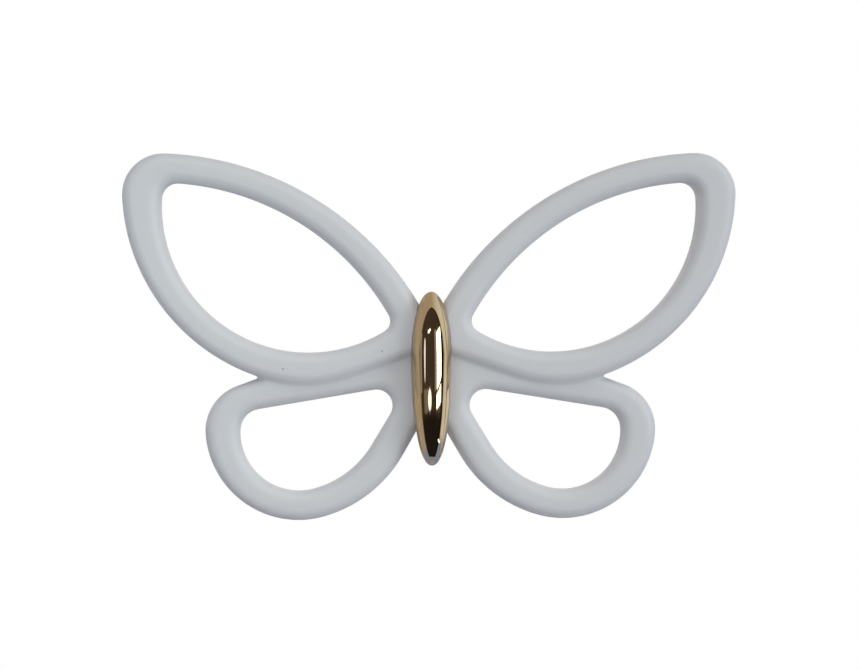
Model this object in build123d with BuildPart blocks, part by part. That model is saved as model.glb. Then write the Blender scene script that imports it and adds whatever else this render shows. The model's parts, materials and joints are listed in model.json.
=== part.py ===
from build123d import *
from math import acos, atan2, cos, degrees, radians, sin, tan
import os

# Butterfly ornament for a panel or a lid: open white wings and a proud gold body.
# X runs across the wings, Z towards the head, and the front faces -Y.
# The flat back lies at Y = 0, with the fixing thread's mouth at the origin.

# Depth of the wings, from the panel forward
upper_depth = 4.6
lower_depth = 3.4
front_round = 1.8
front_round_share = 0.47
back_chamfer = 0.4

# Upper wing: a leaf between a leading and a trailing arc, which tightens into the waist
tip_x = 49.75
tip_z = 35.5
neck_top = 7.3
neck_waist = 3.65
lead_bulge = 9
trail_bulge = 19.5
trail_root = 2.8
waist_turn = -77
waist_radius = 20
tip_round = 6.7
neck_round = 1.8

# Upper opening: the same two arcs, drawn in by the bars' widths and drifting from their centres
lead_bar = 4.6
lead_drift = 1.9
lead_drift_angle = 104
trail_bar = 4.85
trail_drift = 3.65
trail_drift_angle = -52
upper_hole_tip_round = 2.55
upper_hole_root_round = 1.95

# Lower wing: a belly arc with a flatter flank and a tighter outer corner
belly_x = 21.7
belly_z = -9
belly_radius = 15.3
flank_radius = 21.55
flank_join = -105.4
flank_lean = -60
corner_radius = 7.8
corner_join = -4.7
tuck_angle = -78
tuck_depth = 2.4
foot_round = 2.8
notch_round = 0.7

# Lower opening
lower_bar = 4.8
lower_drift = 0.9
lower_hole_lean = -58.8
lower_hole_slope = -9.3
lower_hole_root_round = 2.65
lower_hole_corner_radius = 3.55
lower_hole_corner_join = 2.9

# Body: a spindle, blunter at the head, cut flat where it sits on the wings' seat
body_top = 13
body_bottom = -15.3
body_widest = 2.5
body_width = 6.4
head_blunt = 2
head_side = 5.5
tail_side = 9
tail_blunt = 2.4
seat_depth = 2.6
seat_width = 5.6
seat_length = 18.8
body_clearance = 0.15

# Boss behind the body, with its thread
boss_radius = 2.8
boss_clearance = 0.1
thread_radius = 1.65
thread_depth = 6

# Screws that hold the body from behind
screw_offset = 5.9
screw_radius = 1
screw_length = 3.8
screw_head_radius = 1.9
screw_head_height = 1.2
screw_head_sink = 0.3
screw_clearance = 0.15
screw_tip_room = 0.4
thread_gap = 0.03

# How close a point has to lie to count as on an axis or an arc
tolerance = 0.01

os.makedirs("parts", exist_ok=True)


def on_circle(centre, radius, angle):
    return centre + Vector(cos(radians(angle)), sin(radians(angle))) * radius


def touch_angle(point, centre, radius, side):
    # Angle on the circle where a line from the point touches it, on the given side
    reach = point - centre
    return degrees(atan2(reach.Y, reach.X) + side * acos(radius / reach.length))


# Upper pair of wings, on the sketch plane that looks at the front
wing_tip, neck, waist = Vector(tip_x, tip_z), Vector(0, neck_top), Vector(0, neck_waist)
trail = SagittaArc(wing_tip, (0, trail_root), trail_bulge)
trail_centre = trail.arc_center
waist_centre = on_circle(trail_centre, trail.radius - waist_radius, waist_turn)
waist_end = touch_angle(waist, waist_centre, waist_radius, 1)
tip_angle = degrees(atan2(tip_z - trail_centre.Y, tip_x - trail_centre.X))
with BuildLine() as upper_edge:
    lead = SagittaArc(neck, wing_tip, lead_bulge)
    CenterArc(trail_centre, trail.radius, waist_turn, tip_angle - waist_turn)
    CenterArc(waist_centre, waist_radius, waist_end, waist_turn - waist_end)
    Line(on_circle(waist_centre, waist_radius, waist_end), waist)
    Line(waist, neck)
lead_centre = lead.arc_center
hole_lead_centre = on_circle(lead_centre, lead_drift, lead_drift_angle)
hole_trail_centre = on_circle(trail_centre, trail_drift, trail_drift_angle)

with BuildSketch() as upper_hole:
    with Locations(hole_lead_centre):
        Circle(lead.radius - lead_bar - lead_drift)
    with Locations(hole_trail_centre):
        Circle(trail.radius - trail_bar - trail_drift, mode=Mode.INTERSECT)
    fillet(upper_hole.vertices().sort_by(Axis.X)[-1], upper_hole_tip_round)
    fillet(upper_hole.vertices().sort_by(Axis.X)[0], upper_hole_root_round)
    mirror(about=Plane.YZ)

# Lower pair: flank, belly and corner arcs that run into each other
belly = Vector(belly_x, belly_z)
flank = on_circle(belly, belly_radius - flank_radius, flank_join)
corner = on_circle(belly, belly_radius - corner_radius, corner_join)
flank_start = on_circle(flank, flank_radius, flank_lean - 90)
foot = Vector(0, flank_start.Y - flank_start.X * tan(radians(flank_lean)))

# The lower bar tucks in under the middle of the upper trailing bar
tuck_radius = trail.radius - tuck_depth
tuck = on_circle(trail_centre, tuck_radius, tuck_angle)
corner_end = touch_angle(tuck, corner, corner_radius, -1)
tuck_stop = -degrees(acos(-trail_centre.X / tuck_radius))
with BuildLine() as lower_edge:
    Line(foot, flank_start)
    CenterArc(flank, flank_radius, flank_lean - 90, flank_join - flank_lean + 90)
    CenterArc(belly, belly_radius, flank_join, corner_join - flank_join)
    CenterArc(corner, corner_radius, corner_join, corner_end - corner_join)
    notch_run = Line(on_circle(corner, corner_radius, corner_end), tuck)
    CenterArc(trail_centre, tuck_radius, tuck_angle, tuck_stop - tuck_angle)
    Line(on_circle(trail_centre, tuck_radius, tuck_stop), foot)

# Lower opening: the belly and flank arcs drawn in, and two straight runs to the root
hole_inset = lower_bar + lower_drift
hole_belly = belly - Vector(0, lower_drift)
hole_belly_radius = belly_radius - hole_inset
hole_flank_radius = flank_radius - hole_inset
hole_flank = on_circle(hole_belly, belly_radius - flank_radius, flank_join)
hole_corner_reach = hole_belly_radius - lower_hole_corner_radius
hole_corner = on_circle(hole_belly, hole_corner_reach, lower_hole_corner_join)
hole_corner_turn = lower_hole_slope + 90 - lower_hole_corner_join
hole_start = on_circle(hole_flank, hole_flank_radius, lower_hole_lean - 90)
hole_stop = on_circle(hole_corner, lower_hole_corner_radius, lower_hole_slope + 90)
hole_far_side = on_circle(hole_stop, belly_radius + flank_radius, lower_hole_slope + 180)
flank_heading = on_circle(Vector(0, 0), 1, lower_hole_lean + 180)
with BuildLine() as lower_hole_edge:
    top_run = Line(hole_stop, hole_far_side, mode=Mode.PRIVATE)
    flank_run = IntersectingLine(hole_start, flank_heading, top_run)
    CenterArc(hole_flank, hole_flank_radius, lower_hole_lean - 90, flank_join - lower_hole_lean + 90)
    CenterArc(hole_belly, hole_belly_radius, flank_join, lower_hole_corner_join - flank_join)
    CenterArc(hole_corner, lower_hole_corner_radius, lower_hole_corner_join, hole_corner_turn)
    Line(hole_stop, flank_run @ 1)

with BuildSketch() as lower_hole:
    add(lower_hole_edge.line)
    make_face()
    fillet(lower_hole.vertices().sort_by(Axis.X)[0], lower_hole_root_round)
    mirror(about=Plane.YZ)


def body_half(room):
    # Half outline of the body from its axis, for the spindle and, with room added, its pocket
    side = body_width / 2 + room
    top, bottom = body_top + room, body_bottom - room
    with BuildLine() as edge:
        Bezier((0, top), (head_blunt, top), (side, body_widest + head_side), (side, body_widest))
        Bezier((side, body_widest), (side, body_widest - tail_side), (tail_blunt, bottom), (0, bottom))
        Line((0, bottom), (0, top))
    return edge.line


def in_notch(vertex):
    # Where the trailing arc of an upper wing meets the lower wing
    reach = Vector(abs(vertex.X), vertex.Y) - trail_centre
    return abs(reach.length - trail.radius) < tolerance and vertex.Y < neck_waist


def on_middle(vertices):
    return vertices.filter_by_position(Axis.X, -tolerance, tolerance)


def rounds_in_front(rim):
    # All but the arc that tucks in under the upper bar
    return rim.geom_type == GeomType.LINE or rim.radius < tuck_radius


head_seat = screw_head_sink + screw_head_height
notch_wall = notch_run.distance_to(hole_corner) - lower_hole_corner_radius
bar_round = min(front_round, front_round_share * min(lead_bar, trail_bar, lower_bar, notch_wall))
with BuildPart() as lower_pair:
    with BuildSketch(Plane.XZ) as lower_outline:
        add(lower_edge.line)
        make_face()
        mirror(about=Plane.YZ)
        fillet(on_middle(lower_outline.vertices()).sort_by(Axis.Y)[0], foot_round)
        add(lower_hole.sketch, mode=Mode.SUBTRACT)
    extrude(amount=lower_depth)
    lower_rims = lower_pair.faces().sort_by(Axis.Y)[0].edges()
    fillet(lower_rims.filter_by(rounds_in_front), bar_round)

with BuildPart() as wing_frame:
    with BuildSketch(Plane.XZ) as upper_outline:
        add(upper_edge.line)
        make_face()
        fillet(upper_outline.vertices().sort_by(Axis.X)[-1], tip_round)
        mirror(about=Plane.YZ)
        fillet(on_middle(upper_outline.vertices()), neck_round)
        add(upper_hole.sketch, mode=Mode.SUBTRACT)
    extrude(amount=upper_depth)
    fillet(wing_frame.faces().sort_by(Axis.Y)[0].edges(), bar_round)
    add(lower_pair.part)
    # Round the notch between the loops along their straight walls
    with BuildSketch(Plane.XZ) as walls:
        add(upper_outline.sketch_local)
        add(lower_outline.sketch_local)
        fillet(walls.vertices().filter_by(in_notch), notch_round)
    extrude(amount=lower_depth - bar_round)
    chamfer(wing_frame.faces().sort_by(Axis.Y)[-1].edges(), back_chamfer)
    # Seat for the body, with the boss hole and two sunk screw holes through it
    with BuildSketch(Plane.XZ):
        SlotOverall(seat_length, seat_width, rotation=90)
    extrude(amount=seat_depth)
    with BuildSketch(Plane.XZ.offset(seat_depth)):
        add(body_half(body_clearance))
        make_face()
        mirror(about=Plane.YZ)
    extrude(amount=upper_depth, mode=Mode.SUBTRACT)
    with BuildSketch(Plane.XZ):
        Circle(boss_radius + boss_clearance)
    extrude(amount=seat_depth, mode=Mode.SUBTRACT)
    with BuildSketch(Plane.XZ):
        with Locations((0, screw_offset), (0, -screw_offset)):
            Circle(screw_radius + screw_clearance)
    extrude(amount=seat_depth, mode=Mode.SUBTRACT)
    with BuildSketch(Plane.XZ):
        with Locations((0, screw_offset), (0, -screw_offset)):
            Circle(screw_head_radius + screw_clearance)
    extrude(amount=head_seat, mode=Mode.SUBTRACT)
wing_frame.part.label = "wing_frame"
export_step(wing_frame.part, "parts/wing_frame.step")

with BuildPart() as body:
    with BuildSketch(Plane.XZ.offset(upper_depth)):
        add(body_half(0))
        make_face()
    revolve(axis=Axis((0, -upper_depth, 0), (0, 0, -1)), revolution_arc=180)
    with BuildSketch(Plane.XZ.offset(seat_depth)):
        add(body_half(0))
        make_face()
        mirror(about=Plane.YZ)
    extrude(amount=upper_depth - seat_depth)
    with BuildSketch(Plane.XZ):
        Circle(boss_radius)
    extrude(amount=seat_depth)
    with BuildSketch(Plane.XZ):
        Circle(thread_radius)
    extrude(amount=thread_depth, mode=Mode.SUBTRACT)
    with BuildSketch(Plane.XZ.offset(seat_depth)):
        with Locations((0, screw_offset), (0, -screw_offset)):
            Circle(screw_radius + thread_gap)
    extrude(amount=head_seat + screw_length + screw_tip_room - seat_depth, mode=Mode.SUBTRACT)
body.part.label = "body"
export_step(body.part, "parts/body.step")

with BuildPart() as body_screws:
    with BuildSketch(Plane.XZ.offset(screw_head_sink)):
        with Locations((0, screw_offset), (0, -screw_offset)):
            Circle(screw_head_radius)
    extrude(amount=screw_head_height)
    with BuildSketch(Plane.XZ.offset(head_seat)):
        with Locations((0, screw_offset), (0, -screw_offset)):
            Circle(screw_radius)
    extrude(amount=screw_length)
body_screws.part.label = "body_screws"
export_step(body_screws.part, "parts/body_screws.step")
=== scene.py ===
import json
import math

import bmesh
import bpy
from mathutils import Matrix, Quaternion, Vector

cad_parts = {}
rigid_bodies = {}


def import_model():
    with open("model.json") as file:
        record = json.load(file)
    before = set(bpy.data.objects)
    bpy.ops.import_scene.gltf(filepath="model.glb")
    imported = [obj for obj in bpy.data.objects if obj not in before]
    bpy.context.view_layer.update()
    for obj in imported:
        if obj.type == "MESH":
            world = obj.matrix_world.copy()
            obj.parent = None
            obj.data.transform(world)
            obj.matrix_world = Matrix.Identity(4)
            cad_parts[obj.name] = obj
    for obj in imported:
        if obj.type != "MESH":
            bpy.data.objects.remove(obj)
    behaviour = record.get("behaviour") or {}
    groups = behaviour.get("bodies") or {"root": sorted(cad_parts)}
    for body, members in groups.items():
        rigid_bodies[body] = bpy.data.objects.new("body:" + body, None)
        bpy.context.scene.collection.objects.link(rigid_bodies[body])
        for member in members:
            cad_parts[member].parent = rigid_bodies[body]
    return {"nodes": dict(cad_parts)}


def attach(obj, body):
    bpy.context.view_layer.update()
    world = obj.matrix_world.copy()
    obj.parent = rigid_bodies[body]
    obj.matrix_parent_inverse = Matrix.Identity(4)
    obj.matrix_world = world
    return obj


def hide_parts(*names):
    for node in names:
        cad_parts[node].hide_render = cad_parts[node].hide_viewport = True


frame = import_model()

# Butterfly ornament: sprayed wings, a gold-plated body and the two screws behind it.
# The pieces' sizes are in millimetres, X across the wings, Z towards the head, front towards -Y.
mm = 0.001
outlineGap, skinGap, domeGap = 0.02, 0.004, 0.002  # points that lie closer than this become one
onPlane = 0.01  # points within this of a plane are on it
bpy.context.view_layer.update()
print("frame: nodes", sorted(frame["nodes"]))


def at(x, z, depth=0.0):
    return Vector((x * mm, -depth * mm, z * mm))  # depth runs forward from the flat back


def clearSelection():
    bpy.ops.object.select_all(action="DESELECT")


def makeActive(piece):
    clearSelection()
    piece.select_set(True)
    bpy.context.view_layer.objects.active = piece


def startEdit(piece):
    makeActive(piece)
    bpy.ops.object.mode_set(mode="EDIT")


def endEdit():
    bpy.ops.object.mode_set(mode="OBJECT")


def pickVerts(piece, test):
    bpy.ops.mesh.select_mode(type="VERT")
    bpy.ops.mesh.select_all(action="DESELECT")
    cage = bmesh.from_edit_mesh(piece.data)
    for vert in cage.verts:
        vert.select_set(test(vert.co / mm))
    cage.select_flush(True)
    bmesh.update_edit_mesh(piece.data)


def pickEdges(piece, test):
    bpy.ops.mesh.select_mode(type="EDGE")
    bpy.ops.mesh.select_all(action="DESELECT")
    cage = bmesh.from_edit_mesh(piece.data)
    for edge in cage.edges:
        edge.select_set(test(edge))
    bmesh.update_edit_mesh(piece.data)


def closeSkin(gap=skinGap):
    bpy.ops.mesh.select_all(action="SELECT")
    bpy.ops.mesh.remove_doubles(threshold=gap * mm)
    bpy.ops.mesh.normals_make_consistent(inside=False)


def finishWith(piece, kind, **settings):
    makeActive(piece)
    modifier = piece.modifiers.new(kind.title(), kind)
    for name, value in settings.items():
        setattr(modifier, name, value)
    bpy.ops.object.modifier_apply(modifier=modifier.name)


def cutWith(piece, cutter, operation="DIFFERENCE"):
    finishWith(piece, "BOOLEAN", object=cutter, operation=operation, solver="EXACT")
    bpy.data.objects.remove(cutter)


def joinAll(pieces):
    clearSelection()
    for piece in pieces:
        piece.select_set(True)
    bpy.context.view_layer.objects.active = pieces[0]
    bpy.ops.object.join()
    return pieces[0]


def newRod(name, radius, back, front, x=0.0, z=0.0, sides=48):
    # A round bar along Y between two depths
    clearSelection()
    bpy.ops.mesh.primitive_cylinder_add(vertices=sides, radius=radius * mm, depth=(front - back) * mm,
                                        location=at(x, z, (back + front) / 2),
                                        rotation=(math.pi / 2, 0, 0))
    rod = bpy.context.object
    rod.name = name
    bpy.ops.object.transform_apply(location=True, rotation=True, scale=True)
    return rod


def shadeSmooth(piece, degrees):
    makeActive(piece)
    bpy.ops.object.shade_smooth_by_angle(angle=math.radians(degrees))


# Flat geometry in the wings' own plane: points are (x, z)
def polar(centre, radius, angle):
    turn = math.radians(angle)
    return Vector((centre[0] + radius * math.cos(turn), centre[1] + radius * math.sin(turn)))


def bearing(centre, point):
    return math.degrees(math.atan2(point[1] - centre[1], point[0] - centre[0]))


def circlesMeet(centreA, radiusA, centreB, radiusB, side):
    across = Vector(centreB) - Vector(centreA)
    along = (radiusA ** 2 - radiusB ** 2 + across.length_squared) / (2 * across.length)
    away = math.sqrt(radiusA ** 2 - along ** 2)
    unit = across.normalized()
    return Vector(centreA) + unit * along + Vector((-unit.y, unit.x)) * side * away


def linesMeet(pointA, angleA, pointB, angleB):
    headA, headB = polar((0, 0), 1, angleA), polar((0, 0), 1, angleB)
    between = Vector(pointB) - Vector(pointA)
    return Vector(pointA) + headA * (between.cross(headB) / headA.cross(headB))


def drawChain(start, runs):
    # One point carried on in turn round each arc (centre, turn, steps) or along each line (end, steps)
    bpy.ops.mesh.select_mode(type="VERT")
    bpy.ops.mesh.select_all(action="DESELECT")
    bpy.ops.mesh.primitive_plane_add(size=mm, location=at(*start))
    bpy.ops.mesh.merge(type="CENTER")
    here = Vector(start)
    for run in runs:
        if len(run) == 3:
            centre, turn, steps = run
            bpy.ops.mesh.spin(steps=steps, angle=math.radians(turn), center=at(*centre), axis=(0, 1, 0))
            here = polar(centre, (here - Vector(centre)).length, bearing(centre, here) + turn)
        else:
            end, steps = run
            stride = (Vector(end) - here) / steps
            for _ in range(steps):
                bpy.ops.mesh.extrude_region_move(TRANSFORM_OT_translate={"value": at(*stride)})
            here = Vector(end)


def newLoop(name, outer, inner):
    # A flat loop of quads between two outlines that have the same number of points
    clearSelection()
    bpy.ops.mesh.primitive_plane_add(size=mm)
    loop = bpy.context.object
    loop.name = name
    startEdit(loop)
    bpy.ops.mesh.delete(type="VERT")
    drawChain(*outer)
    drawChain(*inner)
    bpy.ops.mesh.select_all(action="SELECT")
    bpy.ops.mesh.remove_doubles(threshold=outlineGap * mm)
    bpy.ops.mesh.bridge_edge_loops()
    endEdit()
    finishWith(loop, "MIRROR", use_axis=(True, False, False), merge_threshold=outlineGap * mm)
    return loop


def raiseLoop(loop, wing, isRounded):
    # Gives the flat loop its depth and rounds its rims, more in front than behind
    startEdit(loop)
    bpy.ops.mesh.select_all(action="SELECT")
    bpy.ops.mesh.extrude_region_move(TRANSFORM_OT_translate={"value": at(0, 0, wing["depth"])})
    closeSkin()

    def onRim(edge, depth):
        flat = all(abs(vert.co.y / mm + depth) < onPlane for vert in edge.verts)
        return flat and any(abs(face.normal.y) < 0.5 for face in edge.link_faces)  # a side wall starts here

    pickEdges(loop, lambda edge: onRim(edge, wing["depth"]) and isRounded(edge))
    bpy.ops.mesh.bevel(offset=wing["frontRound"] * mm, segments=wing["frontSegments"],
                       affect="EDGES", clamp_overlap=False)
    pickEdges(loop, lambda edge: onRim(edge, 0.0))
    bpy.ops.mesh.bevel(offset=wing["backRound"] * mm, segments=wing["backSegments"],
                       affect="EDGES", clamp_overlap=False)
    closeSkin()
    endEdit()


def clockwise(centre, start, end):
    return -((bearing(centre, start) - bearing(centre, end)) % 360)


# Upper wings: a leaf between a leading and a trailing arc, which tightens into the waist,
# and the leaf drawn in again for the opening
upperWing = {
    "tip": (49.75, 35.5), "neckTop": 7.3, "neckWaist": 3.65,
    "leadBulge": 9.0, "trailBulge": 19.5, "trailRoot": 2.8,
    "waistTurn": -77.0, "waistRadius": 20.0, "tipRound": 6.7, "neckRound": 1.8,
    "leadBar": 4.6, "leadDrift": 1.9, "leadDriftAngle": 104,
    "trailBar": 4.85, "trailDrift": 3.65, "trailDriftAngle": -52,
    "holeTipRound": 2.55, "holeRootRound": 1.95,
    "depth": 4.6, "frontRound": 1.8, "frontSegments": 8, "backRound": 0.4, "backSegments": 3,
    "longSteps": 40, "waistSteps": 10, "tipSteps": 14, "rootSteps": 8,
}


def arcThrough(start, end, bulge):
    # Centre and radius of the arc that stands out from its chord by the bulge, on the left of its way
    chord = Vector(end) - Vector(start)
    radius = (chord.length_squared / 4 + bulge ** 2) / (2 * bulge)
    left = Vector((-chord.y, chord.x)).normalized()
    return Vector(start) + chord / 2 + left * (bulge - radius), radius


def trailArc(wing):
    return arcThrough(wing["tip"], (0, wing["trailRoot"]), wing["trailBulge"])


def roundedJoin(lead, leadRadius, trail, trailRadius, rounding, side):
    # Where a round inside both arcs sits, and where it leaves each of them
    middle = circlesMeet(lead, leadRadius - rounding, trail, trailRadius - rounding, side)
    onLead = lead + (middle - lead).normalized() * leadRadius
    onTrail = trail + (middle - trail).normalized() * trailRadius
    return middle, onLead, onTrail


def makeUpperPair(wing):
    longSteps, tipSteps = wing["longSteps"], wing["tipSteps"]
    waistSteps, rootSteps = wing["waistSteps"], wing["rootSteps"]
    lead, leadRadius = arcThrough((0, wing["neckTop"]), wing["tip"], wing["leadBulge"])
    trail, trailRadius = trailArc(wing)
    neckRound = wing["neckRound"]
    neck = Vector((0, lead.y + math.sqrt((leadRadius + neckRound) ** 2 - lead.x ** 2)))
    neckOut = neck + (lead - neck).normalized() * neckRound
    neckLow = neck - Vector((0, neckRound))
    tip, tipIn, tipOut = roundedJoin(lead, leadRadius, trail, trailRadius, wing["tipRound"], -1)
    waist = polar(trail, trailRadius - wing["waistRadius"], wing["waistTurn"])
    reach = Vector((0, wing["neckWaist"])) - waist  # the waist runs straight on to the axis
    touch = bearing((0, 0), reach) + math.degrees(math.acos(wing["waistRadius"] / reach.length))
    outer = (neckLow, [
        (neck, bearing(neck, lead) + 90, rootSteps),
        (lead, clockwise(lead, neckOut, tipIn), longSteps),
        (tip, clockwise(tip, tipIn, tipOut), tipSteps),
        (trail, clockwise(trail, tipOut, polar(trail, 1, wing["waistTurn"])), longSteps),
        (waist, touch - wing["waistTurn"], waistSteps),
        ((0, wing["neckWaist"]), waistSteps),
        (neckLow, rootSteps)])
    holeLead = polar(lead, wing["leadDrift"], wing["leadDriftAngle"])
    holeTrail = polar(trail, wing["trailDrift"], wing["trailDriftAngle"])
    hole = (holeLead, leadRadius - wing["leadBar"] - wing["leadDrift"],
            holeTrail, trailRadius - wing["trailBar"] - wing["trailDrift"])
    tip, tipIn, tipOut = roundedJoin(*hole, wing["holeTipRound"], -1)
    root, rootOut, rootIn = roundedJoin(*hole, wing["holeRootRound"], 1)
    inner = (rootOut, [
        (holeLead, clockwise(holeLead, rootOut, tipIn), longSteps),
        (tip, clockwise(tip, tipIn, tipOut), tipSteps),
        (holeTrail, clockwise(holeTrail, tipOut, rootIn), longSteps + 2 * waistSteps),
        (root, clockwise(root, rootIn, rootOut), 2 * rootSteps)])
    pair = newLoop("upperPair", outer, inner)
    raiseLoop(pair, wing, lambda edge: True)
    return pair


# Lower wings: flank, belly and corner arcs, with the top bar tucked in under the upper trailing bar
lowerWing = {
    "belly": (21.7, -9.0), "bellyRadius": 15.3,
    "flankRadius": 21.55, "flankJoin": -105.4, "flankLean": -60.0,
    "cornerRadius": 7.8, "cornerJoin": -4.7, "footRound": 2.8,
    "tuckAngle": -78.0, "tuckDepth": 2.4, "tuckMargin": 0.1, "tuckEnd": -2.0,
    "bar": 4.8, "drift": 0.9, "holeLean": -58.8, "holeSlope": -9.3,
    "holeRootRound": 2.65, "holeCornerRadius": 3.55, "holeCornerJoin": 2.9,
    "depth": 3.4, "frontRound": 1.8, "frontSegments": 8, "backRound": 0.4, "backSegments": 3,
    "lineSteps": 8, "flankSteps": 14, "bellySteps": 36,
    "cornerSteps": 16, "notchSteps": 6, "tuckSteps": 24,
}


def makeLowerPair(wing, trail, trailRadius):
    belly, bellyRadius, flankRadius = wing["belly"], wing["bellyRadius"], wing["flankRadius"]
    flankJoin, flankLean, cornerJoin = wing["flankJoin"], wing["flankLean"], wing["cornerJoin"]
    flank = polar(belly, bellyRadius - flankRadius, flankJoin)
    corner = polar(belly, bellyRadius - wing["cornerRadius"], cornerJoin)
    flankStart = polar(flank, flankRadius, flankLean - 90)
    foot = linesMeet(flankStart, flankLean, (0, 0), 90)  # becomes the centre of the round between the feet
    foot -= Vector((0, wing["footRound"] / math.cos(math.radians(flankLean))))
    footHigh = foot + Vector((0, wing["footRound"]))
    tuckRadius = trailRadius - wing["tuckDepth"]
    tuck = polar(trail, tuckRadius, wing["tuckAngle"])
    reach = tuck - corner  # the notch line leaves the corner arc without a kink
    cornerEnd = bearing((0, 0), reach) - math.degrees(math.acos(wing["cornerRadius"] / reach.length))
    tuckStop = -math.degrees(math.acos(-trail.x / tuckRadius))
    outer = (footHigh, [
        (foot, flankLean, wing["lineSteps"]),
        (flankStart, wing["lineSteps"]),
        (flank, flankJoin - flankLean + 90, wing["flankSteps"]),
        (belly, cornerJoin - flankJoin, wing["bellySteps"]),
        (corner, cornerEnd - cornerJoin, wing["cornerSteps"]),
        (tuck, wing["notchSteps"]),
        (trail, tuckStop - wing["tuckAngle"], wing["tuckSteps"]),
        (footHigh, wing["lineSteps"])])

    holeLean, holeSlope, holeJoin = wing["holeLean"], wing["holeSlope"], wing["holeCornerJoin"]
    inset = wing["bar"] + wing["drift"]
    holeBelly = Vector(belly) - Vector((0, wing["drift"]))
    holeRadius, holeFlankRadius = bellyRadius - inset, flankRadius - inset
    holeFlank = polar(holeBelly, bellyRadius - flankRadius, flankJoin)
    holeCorner = polar(holeBelly, holeRadius - wing["holeCornerRadius"], holeJoin)
    holeStart = polar(holeFlank, holeFlankRadius, holeLean - 90)
    holeStop = polar(holeCorner, wing["holeCornerRadius"], holeSlope + 90)
    root = linesMeet(holeStart, holeLean, holeStop, holeSlope)
    halfTurn = (holeSlope - holeLean) / 2
    rootReach = wing["holeRootRound"] / math.tan(math.radians(halfTurn))
    rootCentre = polar(root, wing["holeRootRound"] / math.sin(math.radians(halfTurn)), holeLean + halfTurn)
    inner = (polar(root, rootReach, holeLean), [
        (holeStart, wing["lineSteps"]),
        (holeFlank, flankJoin - holeLean + 90, wing["flankSteps"]),
        (holeBelly, holeJoin - flankJoin, wing["bellySteps"]),
        (holeCorner, holeSlope + 90 - holeJoin, wing["cornerSteps"]),
        (polar(root, rootReach, holeSlope), wing["notchSteps"] + wing["tuckSteps"]),
        (rootCentre, 180 - 2 * halfTurn, 2 * wing["lineSteps"])])
    pair = newLoop("lowerPair", outer, inner)

    def clearOfTuck(edge):  # the rim that disappears under the upper bar stays square
        middle = (edge.verts[0].co + edge.verts[1].co) / (2 * mm)
        away = (Vector((abs(middle.x), middle.z)) - trail).length
        return away > tuckRadius + wing["tuckMargin"] or middle.z < wing["tuckEnd"]

    raiseLoop(pair, wing, clearOfTuck)
    return pair


# Gold body: half a spindle, blunter at the head, on a straight skirt and a round boss
goldBody = {
    "top": 13.0, "bottom": -15.3, "widest": 2.5, "width": 6.4,
    "headBlunt": 2.0, "headSide": 5.5, "tailSide": 9.0, "tailBlunt": 2.4,
    "axisDepth": 4.6, "seatDepth": 2.6, "profileSteps": 40, "spinSteps": 96,
    "bossRadius": 2.8, "boreDepth": 6.0, "boreRadius": 1.65, "threadRadius": 2.0, "threadPitch": 0.7,
    "mouthChamfer": 0.3, "screwBore": 1.03, "screwBoreDepth": 5.7, "smoothAngle": 32,
    "bossSink": 0.4, "tapLead": 0.4, "mouthLead": 0.2, "boreLead": 0.5,  # overlaps that leave no sliver
}


def makeSpindle(name, body, room=0.0):
    side, widest = body["width"] / 2 + room, body["widest"]
    top, bottom, depth = body["top"] + room, body["bottom"] - room, body["axisDepth"]
    clearSelection()
    bpy.ops.curve.primitive_bezier_curve_add()
    profile = bpy.context.object
    profile.name = name
    spline = profile.data.splines[0]
    spline.bezier_points.add(1)
    marks = [((0, top), (-body["headBlunt"], top), (body["headBlunt"], top)),
             ((side, widest), (side, widest + body["headSide"]), (side, widest - body["tailSide"])),
             ((0, bottom), (body["tailBlunt"], bottom), (-body["tailBlunt"], bottom))]
    for point, (spot, before, after) in zip(spline.bezier_points, marks):
        point.handle_left_type = point.handle_right_type = "FREE"
        point.co = at(*spot, depth)
        point.handle_left, point.handle_right = at(*before, depth), at(*after, depth)
    profile.data.resolution_u = spline.resolution_u = body["profileSteps"]
    bpy.ops.object.convert(target="MESH")
    spindle = bpy.context.object
    startEdit(spindle)
    bpy.ops.mesh.select_all(action="SELECT")
    bpy.ops.mesh.spin(steps=body["spinSteps"], angle=math.pi, center=at(0, 0, depth), axis=(0, 0, 1))
    bpy.ops.mesh.select_all(action="SELECT")
    bpy.ops.mesh.remove_doubles(threshold=domeGap * mm)
    pickEdges(spindle, lambda edge: edge.is_boundary)  # the rim of the dome, drawn back to the seat
    bpy.ops.mesh.extrude_region_move(TRANSFORM_OT_translate={"value": at(0, 0, body["seatDepth"] - depth)})
    bpy.ops.mesh.edge_face_add()
    closeSkin(gap=domeGap)
    endEdit()
    return spindle


# Threads: rings of points to a turn, points to a ring, and how steeply a flank climbs to the crest
threadForm = {"rings": 8, "sides": 40, "flank": 2.6}


def makeThread(name, crest, root, pitch, back, front, x=0.0, z=0.0):
    # A bar whose rings of points wind in and out as one helix; it cuts a bore or makes a screw's shank
    rings = math.ceil((front - back) / pitch * threadForm["rings"])
    bar = newRod(name, crest, back, front, x, z, sides=threadForm["sides"])
    startEdit(bar)
    pickEdges(bar, lambda edge: abs(edge.verts[0].co.y - edge.verts[1].co.y) > 0.5 * (front - back) * mm)
    bpy.ops.mesh.subdivide_edgering(number_cuts=rings - 1)
    endEdit()
    for vert in bar.data.vertices:
        away = Vector((vert.co.x / mm - x, vert.co.z / mm - z))
        wound = (vert.co.y / mm / pitch + math.atan2(away.y, away.x) / math.tau) % 1
        radius = root + (crest - root) * min(1, threadForm["flank"] * abs(wound - 0.5))
        vert.co.x = (x + away.x / away.length * radius) * mm
        vert.co.z = (z + away.y / away.length * radius) * mm
    return bar


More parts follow.
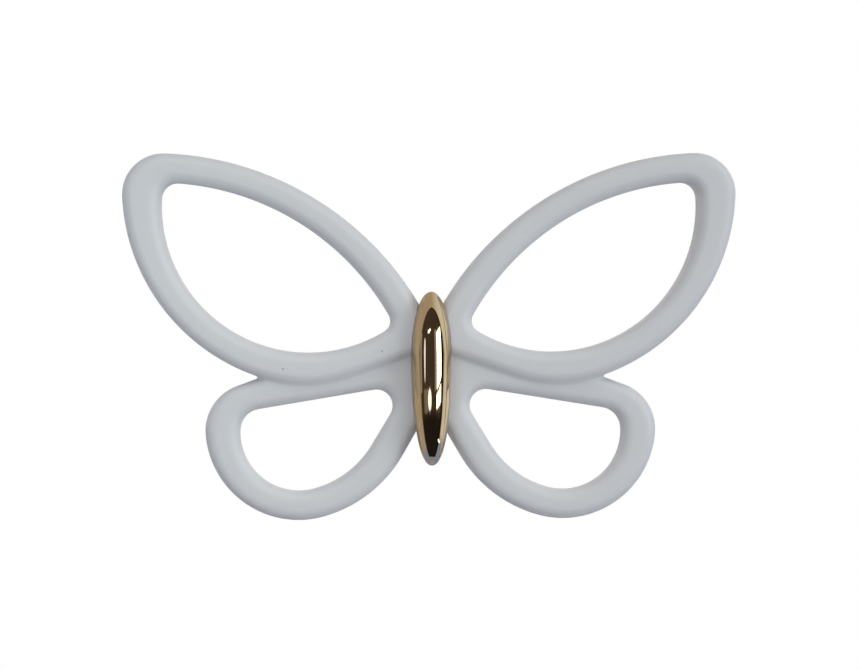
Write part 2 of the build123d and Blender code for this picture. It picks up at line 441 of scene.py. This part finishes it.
def makeGoldBody(body, screws):
    gold = makeSpindle("goldBody", body)
    boss = newRod("boss", body["bossRadius"], 0.0, body["seatDepth"] + body["bossSink"], sides=96)
    cutWith(gold, boss, "UNION")
    cutWith(gold, makeThread("tap", body["boreRadius"], body["threadRadius"], body["threadPitch"],
                             -body["tapLead"], body["boreDepth"]))
    mouth = newRod("mouth", body["boreRadius"], -body["mouthLead"],
                   body["mouthChamfer"] + body["threadRadius"] - body["boreRadius"])
    startEdit(mouth)
    pickVerts(mouth, lambda spot: spot.y > 0)
    wider = (body["threadRadius"] + body["mouthChamfer"]) / body["boreRadius"]
    bpy.ops.transform.resize(value=(wider, 1, wider), center_override=(0, 0, 0))
    endEdit()
    cutWith(gold, mouth)
    for height in (screws["offset"], -screws["offset"]):
        cutWith(gold, newRod("bore", body["screwBore"], body["seatDepth"] - body["boreLead"],
                             body["screwBoreDepth"], 0, height))
    shadeSmooth(gold, body["smoothAngle"])
    return gold


# Two pan-head screws from behind, sunk a little under the flat back
bodyScrews = {
    "offset": 5.9, "headRadius": 1.9, "headHeight": 1.2, "sink": 0.3,
    "headRound": 0.55, "headSegments": 5, "smoothAngle": 35,
    "shankRadius": 1.0, "rootRadius": 0.74, "shankLength": 3.8, "shankSink": 0.2, "pitch": 0.75,
    "slotLength": 2.0, "slotWidth": 0.55, "slotDepth": 0.75, "slotTaper": 0.55, "slotTurn": 17,
    "slotLead": 0.2,
}


def makeScrew(screw, height):
    seat = screw["sink"] + screw["headHeight"]
    head = newRod("screwHead", screw["headRadius"], screw["sink"], seat, 0, height, sides=64)
    startEdit(head)
    pickEdges(head, lambda edge: all(abs(vert.co.y / mm + screw["sink"]) < onPlane for vert in edge.verts))
    bpy.ops.mesh.bevel(offset=screw["headRound"] * mm, segments=screw["headSegments"], affect="EDGES")
    closeSkin()
    endEdit()
    shank = makeThread("screwShank", screw["shankRadius"], screw["rootRadius"], screw["pitch"],
                       seat - screw["shankSink"], seat + screw["shankLength"], 0, height)
    cutWith(head, shank, "UNION")
    middle = screw["sink"] + (screw["slotDepth"] - screw["slotLead"]) / 2
    bladeDepth, taper = screw["slotDepth"] + screw["slotLead"], screw["slotTaper"]
    for turn in (screw["slotTurn"], screw["slotTurn"] + 90):
        clearSelection()
        bpy.ops.mesh.primitive_cube_add(size=1, location=at(0, height, middle))
        blade = bpy.context.object
        blade.scale = (screw["slotLength"] * mm, bladeDepth * mm, screw["slotWidth"] * mm)
        bpy.ops.object.transform_apply(location=True, rotation=False, scale=True)
        startEdit(blade)
        pickVerts(blade, lambda spot: spot.y < -screw["sink"])
        bpy.ops.transform.resize(value=(taper, 1, taper), center_override=at(0, height))
        bpy.ops.mesh.select_all(action="SELECT")
        bpy.ops.transform.rotate(value=math.radians(turn), orient_axis="Y", center_override=at(0, height))
        endEdit()
        cutWith(head, blade)
    return head


def makeScrews(screw):
    pair = joinAll([makeScrew(screw, height) for height in (screw["offset"], -screw["offset"])])
    pair.name = "bodyScrews"
    shadeSmooth(pair, screw["smoothAngle"])
    return pair


# The wings are one moulding: both pairs and the body's seat run into each other
wingMoulding = {
    "voxel": 0.285, "smoothFactor": 0.5, "smoothRounds": 3, "smoothAngle": 40,
    "seatLength": 18.8, "seatWidth": 5.6,
    "bodyRoom": 0.05, "bossRoom": 0.1, "screwRoom": 0.15, "cutterLead": 1.0,
}


def makeWings(moulding, body, screws):
    upper = makeUpperPair(upperWing)
    lower = makeLowerPair(lowerWing, *trailArc(upperWing))
    seat = newRod("seat", moulding["seatWidth"] / 2, 0.0, body["seatDepth"])
    startEdit(seat)
    stretch = (moulding["seatLength"] - moulding["seatWidth"]) / 2
    for way in (1, -1):
        pickVerts(seat, lambda spot: spot.z * way > onPlane)
        bpy.ops.transform.translate(value=at(0, way * stretch))
    endEdit()
    wings = joinAll([upper, lower, seat])
    wings.name = "wingMoulding"
    finishWith(wings, "REMESH", mode="VOXEL", voxel_size=moulding["voxel"] * mm)
    finishWith(wings, "SMOOTH", factor=moulding["smoothFactor"], iterations=moulding["smoothRounds"])
    cutWith(wings, makeSpindle("pocket", body, moulding["bodyRoom"]))
    back, front = -moulding["cutterLead"], body["seatDepth"] + moulding["cutterLead"]
    headSeat = screws["sink"] + screws["headHeight"]
    cutWith(wings, newRod("bossHole", body["bossRadius"] + moulding["bossRoom"], back, front, sides=96))
    for height in (screws["offset"], -screws["offset"]):
        cutWith(wings, newRod("screwHole", screws["shankRadius"] + moulding["screwRoom"],
                              back, front, 0, height))
        cutWith(wings, newRod("headHole", screws["headRadius"] + moulding["screwRoom"],
                              back, headSeat, 0, height, sides=64))
    shadeSmooth(wings, moulding["smoothAngle"])
    return wings


wings = makeWings(wingMoulding, goldBody, bodyScrews)
print("wings:", len(wings.data.polygons), "faces")
gold = makeGoldBody(goldBody, bodyScrews)
print("gold body:", len(gold.data.polygons), "faces")
screws = makeScrews(bodyScrews)
print("screws:", len(screws.data.polygons), "faces")


def linear(hexColour):
    # The sRGB curve, undone
    parts = [int(hexColour[i:i + 2], 16) / 255 for i in (1, 3, 5)]
    return tuple(c / 12.92 if c <= 0.04045 else ((c + 0.055) / 1.055) ** 2.4 for c in parts) + (1.0,)


def addNode(tree, kind, inputs=None, stops=None, **settings):
    # Inputs by number: a colour Mix has its factor at 0 and colours at 6 and 7, and a Map Range its value
    # at 0, the range that comes in at 1 and 2 and the one that goes out at 3 and 4
    node = tree.nodes.new(kind)
    for name, value in settings.items():
        setattr(node, name, value)
    for name, value in (inputs or {}).items():
        if isinstance(value, bpy.types.NodeSocket):
            tree.links.new(value, node.inputs[name])
        else:
            node.inputs[name].default_value = value
    for number, (spot, colour) in enumerate(stops or []):  # a colour ramp starts with two stops
        stop = node.color_ramp.elements[number] if number < 2 else node.color_ramp.elements.new(spot)
        stop.position, stop.color = spot, colour
    return node


def newFinish(name):
    finish = bpy.data.materials.new(name)
    finish.use_nodes = True
    tree = finish.node_tree
    shader = tree.nodes["Principled BSDF"]
    place = addNode(tree, "ShaderNodeTexCoord").outputs["Object"]
    return finish, tree, shader, place


def wireFinish(tree, shader, tone, rough, height, rise):
    bump = addNode(tree, "ShaderNodeBump", {"Height": height, "Strength": 1.0, "Distance": rise * mm})
    tree.links.new(tone, shader.inputs["Base Color"])
    tree.links.new(rough, shader.inputs["Roughness"])
    tree.links.new(bump.outputs["Normal"], shader.inputs["Normal"])


def wear(piece, finish):
    piece.data.materials.clear()
    piece.data.materials.append(finish)


# Moulded ABS, sprayed matt white: soft light, faint orange peel, hardly any gloss and two nibs in the coat
sprayedWhite = {
    "coat": "#CBCCD0", "coatThin": "#C7C9CC", "nib": "#8B8F94",
    "cloud": 14.0, "peel": 0.8, "peelHeight": 0.012,  # the real peel is half as wide and wouldn't show
    "roughLow": 0.50, "roughHigh": 0.62,
    "nibs": [(-8.07, 3.36), (-24.14, 0.57)], "nibDepth": 4.6, "nibRadius": 0.2, "nibCore": 0.08,
}


def makeSprayedWhite(paint):
    finish, tree, shader, place = newFinish("sprayedWhiteAbs")
    cloud = addNode(tree, "ShaderNodeTexNoise",
                    {"Vector": place, "Scale": 1 / (paint["cloud"] * mm), "Detail": 3.0}).outputs["Fac"]
    tone = addNode(tree, "ShaderNodeMix",
                   {0: cloud, 6: linear(paint["coat"]), 7: linear(paint["coatThin"])},
                   data_type="RGBA").outputs[2]
    for x, z in paint["nibs"]:
        away = addNode(tree, "ShaderNodeVectorMath", {0: place, 1: at(x, z, paint["nibDepth"])},
                       operation="DISTANCE").outputs["Value"]
        spot = addNode(tree, "ShaderNodeMapRange", {0: away, 1: paint["nibCore"] * mm,
                                                    2: paint["nibRadius"] * mm, 3: 1.0, 4: 0.0}).outputs[0]
        tone = addNode(tree, "ShaderNodeMix", {0: spot, 6: tone, 7: linear(paint["nib"])},
                       data_type="RGBA").outputs[2]
    peel = addNode(tree, "ShaderNodeTexNoise",
                   {"Vector": place, "Scale": 1 / (paint["peel"] * mm), "Detail": 2.0}).outputs["Fac"]
    rough = addNode(tree, "ShaderNodeMapRange",
                    {0: cloud, 3: paint["roughLow"], 4: paint["roughHigh"]}).outputs[0]
    wireFinish(tree, shader, tone, rough, peel, paint["peelHeight"])
    return finish


# Zinc casting, polished and gold plated: a warm mirror, a little uneven where the polish rolled over
goldPlate = {
    "gold": "#CFBB9B", "goldDeep": "#C4AD89", "cloud": 5.0, "wave": 3.5, "waveHeight": 0.004,
    "roughLow": 0.03, "roughHigh": 0.06,
}


def makeGoldPlate(plate):
    finish, tree, shader, place = newFinish("goldPlatedZinc")
    cloud = addNode(tree, "ShaderNodeTexNoise",
                    {"Vector": place, "Scale": 1 / (plate["cloud"] * mm), "Detail": 4.0}).outputs["Fac"]
    tone = addNode(tree, "ShaderNodeMix",
                   {0: cloud, 6: linear(plate["gold"]), 7: linear(plate["goldDeep"])},
                   data_type="RGBA").outputs[2]
    wave = addNode(tree, "ShaderNodeTexNoise",
                   {"Vector": place, "Scale": 1 / (plate["wave"] * mm), "Detail": 0.0}).outputs["Fac"]
    rough = addNode(tree, "ShaderNodeMapRange",
                    {0: cloud, 3: plate["roughLow"], 4: plate["roughHigh"]}).outputs[0]
    shader.inputs["Metallic"].default_value = 1.0
    wireFinish(tree, shader, tone, rough, wave, plate["waveHeight"])
    return finish


# Cold-headed steel, bright zinc plated: satin grey with a blue cast and fine marks from the tumbling drum
zincPlate = {
    "zinc": "#B9BEC4", "zincWarm": "#BDBBB2", "cloud": 1.6, "mark": 0.18, "markHeight": 0.006,
    "roughLow": 0.24, "roughHigh": 0.38,
}


def makeZincPlate(plate):
    finish, tree, shader, place = newFinish("zincPlatedSteel")
    cloud = addNode(tree, "ShaderNodeTexNoise",
                    {"Vector": place, "Scale": 1 / (plate["cloud"] * mm), "Detail": 3.0}).outputs["Fac"]
    tone = addNode(tree, "ShaderNodeMix",
                   {0: cloud, 6: linear(plate["zinc"]), 7: linear(plate["zincWarm"])},
                   data_type="RGBA").outputs[2]
    mark = addNode(tree, "ShaderNodeTexNoise",
                   {"Vector": place, "Scale": 1 / (plate["mark"] * mm), "Detail": 2.0}).outputs["Fac"]
    rough = addNode(tree, "ShaderNodeMapRange",
                    {0: mark, 3: plate["roughLow"], 4: plate["roughHigh"]}).outputs[0]
    shader.inputs["Metallic"].default_value = 1.0
    wireFinish(tree, shader, tone, rough, mark, plate["markHeight"])
    return finish


wear(wings, makeSprayedWhite(sprayedWhite))
wear(gold, makeGoldPlate(goldPlate))
wear(screws, makeZincPlate(zincPlate))
for piece, node, slot in ((wings, "wing_frame", "wings"), (gold, "body", "gold"),
                          (screws, "body_screws", "screws")):
    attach(piece, "root")
    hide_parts(node)
print("finishes:", [piece.active_material.name for piece in (wings, gold, screws)])


# Stage, in metres: a pale floor below the picture, white behind the ornament and soft light all round
stage = {
    "floorDrop": 0.22, "floorSize": 1.3, "floorColour": "#B8B9B9", "floorRough": 0.8, "floorGlow": 1.1,
    "ambient": 0.142, "ambientColour": "#DDD2FF",
}
# What the polished gold mirrors: pale walls, bluish low down, pale below, and in front a dim room with a
# dark floor. Blends and the room's half width by height are parts of a mirrored ray's unit length.
mirrored = {
    "leftWall": "#C7BDB1", "rightWall": "#FBFFFF", "wallsMeet": (0.0, 0.85),
    "low": "#9CB2E2", "lowBlend": (-0.36, -0.48), "lowSlope": 0.09,
    "below": "#C2C2C8", "belowBlend": (-0.88, -0.99),
    "room": "#4D443E", "roomFloor": "#292424", "floorBlend": (-0.24, -0.19),
    "rightEdge": "#120D08", "edgeBlend": (0.15, 0.1), "roomSoft": 0.05,
    "roomOutline": [(-0.77, 0.0), (-0.74, 0.5), (-0.6, 0.67), (-0.4, 0.84), (-0.2, 0.95), (0.0, 1.0),
                    (0.15, 0.96), (0.3, 0.85), (0.4, 0.73), (0.5, 0.55), (0.58, 0.32), (0.63, 0.0)],
}
goldLamps = {
    # name: degrees right and up, metres away, width, height, lean, brightness (1 is white), colour, shape
    "window": (42, 4.4, 0.9, 0.44, 0.31, 5.5, 4.5, "#FFFFFF", "RECTANGLE"),
    "windowFoot": (42, -8.4, 0.9, 0.44, 0.06, 5.5, 4.5, "#FFFFFF", "RECTANGLE"),
    "windowSide": (21, 4, 0.95, 0.16, 0.36, 5.5, 0.3, "#FFF4EC", "RECTANGLE"),
    "leftJamb": (-66, 2, 0.85, 0.14, 0.26, 0, 0.3, "#FFF0E6", "RECTANGLE"),
    "leftStrip": (-42, 2.0, 0.8, 0.13, 0.20, 0, 1.7, "#D4DAFF", "ELLIPSE"),
    "leftShelf": (-36, -9.5, 0.85, 0.40, 0.09, 0, 0.17, "#FFF4EC", "RECTANGLE"),
    "highSpot": (-16, 14.2, 0.8, 0.23, 0.030, 8, 5.0, "#FFFFFF", "ELLIPSE"),
    "lowStrip": (-14, -9.3, 0.8, 0.30, 0.08, 0, 2.2, "#DDE4FF", "ELLIPSE"),
    "tipSpark": (59.7, -24, 0.45, 0.14, 0.016, 0, 4.0, "#FFFFFF", "ELLIPSE"),
}
wingLamps = {
    # name: degrees right and up, metres away, width, height, brightness, colour
    "frontRight": (60, 3.5, 0.9, 0.4, 0.4, 6.0, "#F3FDFF"),
    "leftNear": (-30, 8, 0.16, 0.08, 0.08, 1.75, "#EEFFF2"),
    "leftEdge": (-70, 0, 0.15, 0.06, 0.10, 1.1, "#DCEBFF"),
    "lowNear": (0, -35, 0.16, 0.1, 0.06, 1.15, "#FFF2EE"),
    "overhead": (0, 62, 0.8, 0.6, 0.5, 1.8, "#FFFCF0"),
    "highLeft": (-50, 50, 0.8, 0.5, 0.5, 0.8, "#FFF8EE"),
    "highRight": (50, 45, 0.8, 0.5, 0.5, 0.9, "#F5FFF3"),
    "backRight": (155, 30, 0.9, 0.7, 0.7, 1.6, "#FFFCF4"),
    "backLeft": (-155, 20, 0.9, 0.7, 0.7, 1.4, "#FFFCF4"),
}
view = {  # the camera: degrees, metres, and where it looks in millimetres
    "right": -2.0, "up": 0.2, "tilt": -0.234, "away": 0.3, "width": 0.1406, "aim": (-0.19, 5.95, 3.0),
}


def sightRays(tree):
    # 1 for every ray that shows a thing to the eye: straight, mirrored or through glass
    ray = addNode(tree, "ShaderNodeLightPath").outputs
    seen = addNode(tree, "ShaderNodeMath", {0: ray["Is Camera Ray"], 1: ray["Is Glossy Ray"]},
                   operation="ADD").outputs[0]
    seen = addNode(tree, "ShaderNodeMath", {0: seen, 1: ray["Is Transmission Ray"]},
                   operation="ADD", use_clamp=True).outputs[0]
    return ray, seen


def makeFloor(settings):
    clearSelection()
    bpy.ops.mesh.primitive_plane_add(size=settings["floorSize"], location=(0, 0, -settings["floorDrop"]))
    floor = bpy.context.object
    floor.name = "floor"
    floor.visible_glossy = False  # the gold shows the dim room instead
    finish, tree, shader, _ = newFinish("paleFloor")
    shader.inputs["Base Color"].default_value = linear(settings["floorColour"])
    shader.inputs["Roughness"].default_value = settings["floorRough"]
    shader.inputs["Emission Color"].default_value = linear(settings["floorColour"])
    _, seen = sightRays(tree)
    glow = addNode(tree, "ShaderNodeMath", {0: seen, 1: settings["floorGlow"]},
                   operation="MULTIPLY").outputs[0]
    tree.links.new(glow, shader.inputs["Emission Strength"])  # pale to the eye, and it lights nothing
    wear(floor, finish)


def makeWorld(settings, mirrored):
    # Camera rays see white, mirror rays see the walls and the room, and the rest is soft light
    world = bpy.data.worlds.new("studio")
    bpy.context.scene.world = world
    world.use_nodes = True
    tree = world.node_tree
    tree.nodes.clear()
    ray, seen = sightRays(tree)
    direction = addNode(tree, "ShaderNodeTexCoord").outputs["Generated"]
    heading = addNode(tree, "ShaderNodeSeparateXYZ", {0: direction})
    right, back, up = heading.outputs["X"], heading.outputs["Y"], heading.outputs["Z"]

    level = addNode(tree, "ShaderNodeMapRange", {0: up, 1: -1.0, 2: 1.0}).outputs[0]
    outline = [((height + 1) / 2, (half, half, half, 1)) for height, half in mirrored["roomOutline"]]
    half = addNode(tree, "ShaderNodeValToRGB", {0: level}, outline).outputs["Color"]  # half its width
    aside = addNode(tree, "ShaderNodeMath", {0: right}, operation="ABSOLUTE").outputs[0]
    inside = addNode(tree, "ShaderNodeMath", {0: half, 1: aside}, operation="SUBTRACT").outputs[0]
    inside = addNode(tree, "ShaderNodeMapRange", {0: inside, 1: 0.0, 2: mirrored["roomSoft"]}).outputs[0]
    front = addNode(tree, "ShaderNodeMath", {0: back, 1: 0.0}, operation="LESS_THAN").outputs[0]
    inRoom = addNode(tree, "ShaderNodeMath", {0: inside, 1: front}, operation="MULTIPLY").outputs[0]
    low, high = mirrored["floorBlend"]
    overFloor = addNode(tree, "ShaderNodeMapRange", {0: up, 1: low, 2: high}).outputs[0]
    room = addNode(tree, "ShaderNodeMix",
                   {0: overFloor, 6: linear(mirrored["roomFloor"]), 7: linear(mirrored["room"])},
                   data_type="RGBA").outputs[2]
    toEdge = addNode(tree, "ShaderNodeMath", {0: half, 1: right}, operation="SUBTRACT").outputs[0]
    outer, inner = mirrored["edgeBlend"]
    edge = addNode(tree, "ShaderNodeMapRange", {0: toEdge, 1: outer, 2: inner}).outputs[0]
    room = addNode(tree, "ShaderNodeMix", {0: edge, 6: room, 7: linear(mirrored["rightEdge"])},
                   data_type="RGBA").outputs[2]

    low, high = mirrored["wallsMeet"]
    turned = addNode(tree, "ShaderNodeMapRange", {0: right, 1: low, 2: high}).outputs[0]
    walls = addNode(tree, "ShaderNodeMix",
                    {0: turned, 6: linear(mirrored["leftWall"]), 7: linear(mirrored["rightWall"])},
                    data_type="RGBA").outputs[2]
    high, low = mirrored["lowBlend"]
    sloped = addNode(tree, "ShaderNodeMath", {0: right, 1: -mirrored["lowSlope"], 2: up},
                     operation="MULTIPLY_ADD").outputs[0]
    sunk = addNode(tree, "ShaderNodeMapRange", {0: sloped, 1: high, 2: low}).outputs[0]
    walls = addNode(tree, "ShaderNodeMix", {0: sunk, 6: walls, 7: linear(mirrored["low"])},
                    data_type="RGBA").outputs[2]
    high, low = mirrored["belowBlend"]
    under = addNode(tree, "ShaderNodeMapRange", {0: up, 1: high, 2: low}).outputs[0]
    walls = addNode(tree, "ShaderNodeMix", {0: under, 6: walls, 7: linear(mirrored["below"])},
                    data_type="RGBA").outputs[2]
    mirror = addNode(tree, "ShaderNodeMix", {0: inRoom, 6: walls, 7: room}, data_type="RGBA").outputs[2]
    backdrop = addNode(tree, "ShaderNodeMix", {0: ray["Is Glossy Ray"], 6: (1, 1, 1, 1), 7: mirror},
                       data_type="RGBA").outputs[2]

    soft = addNode(tree, "ShaderNodeBackground", {
        "Color": linear(settings["ambientColour"]), "Strength": settings["ambient"]}).outputs[0]
    sight = addNode(tree, "ShaderNodeBackground", {"Color": backdrop, "Strength": 1.0}).outputs[0]
    mixed = addNode(tree, "ShaderNodeMixShader", {0: seen, 1: soft, 2: sight}).outputs[0]
    addNode(tree, "ShaderNodeOutputWorld", {"Surface": mixed})


def towards(right, up):
    right, up = math.radians(right), math.radians(up)
    return Vector((math.sin(right) * math.cos(up), -math.cos(right) * math.cos(up), math.sin(up)))


def makeLamp(name, right, up, away, width, height, lean, brightness, colour, shape, inGold):
    toward = towards(right, up)
    turn = toward.to_track_quat("Z", "Y") @ Quaternion((0, 0, 1), math.radians(lean))
    clearSelection()
    bpy.ops.object.light_add(type="AREA", location=toward * away, rotation=turn.to_euler())
    lamp = bpy.context.object
    lamp.name = name
    lamp.data.shape = shape
    lamp.data.size, lamp.data.size_y = width, height
    area = width * height * (1 if shape == "RECTANGLE" else math.pi / 4)
    lamp.data.energy = 4 * area * brightness  # watts that give the lamp's face that brightness
    lamp.data.color = linear(colour)[:3]
    lamp.visible_camera = False
    lamp.visible_glossy, lamp.visible_diffuse = inGold, not inGold


def makeCamera(settings):
    toward = towards(settings["right"], settings["up"])
    turn = toward.to_track_quat("Z", "Y") @ Quaternion((0, 0, 1), math.radians(settings["tilt"]))
    spot = at(*settings["aim"]) + toward * settings["away"]
    bpy.ops.object.camera_add(location=spot, rotation=turn.to_euler())
    camera = bpy.context.object
    camera.data.sensor_width = 36
    camera.data.lens = camera.data.sensor_width * settings["away"] / settings["width"]
    bpy.context.scene.camera = camera


makeFloor(stage)
makeWorld(stage, mirrored)
for name, settings in goldLamps.items():
    makeLamp(name, *settings, True)
for name, (right, up, away, width, height, brightness, colour) in wingLamps.items():
    makeLamp(name, right, up, away, width, height, 0, brightness, colour, "RECTANGLE", False)
makeCamera(view)  # the photo's frame, 860 pixels across the width
bpy.context.scene.view_settings.view_transform = "Standard"
print("stage:", len(goldLamps) + len(wingLamps), "lamps")
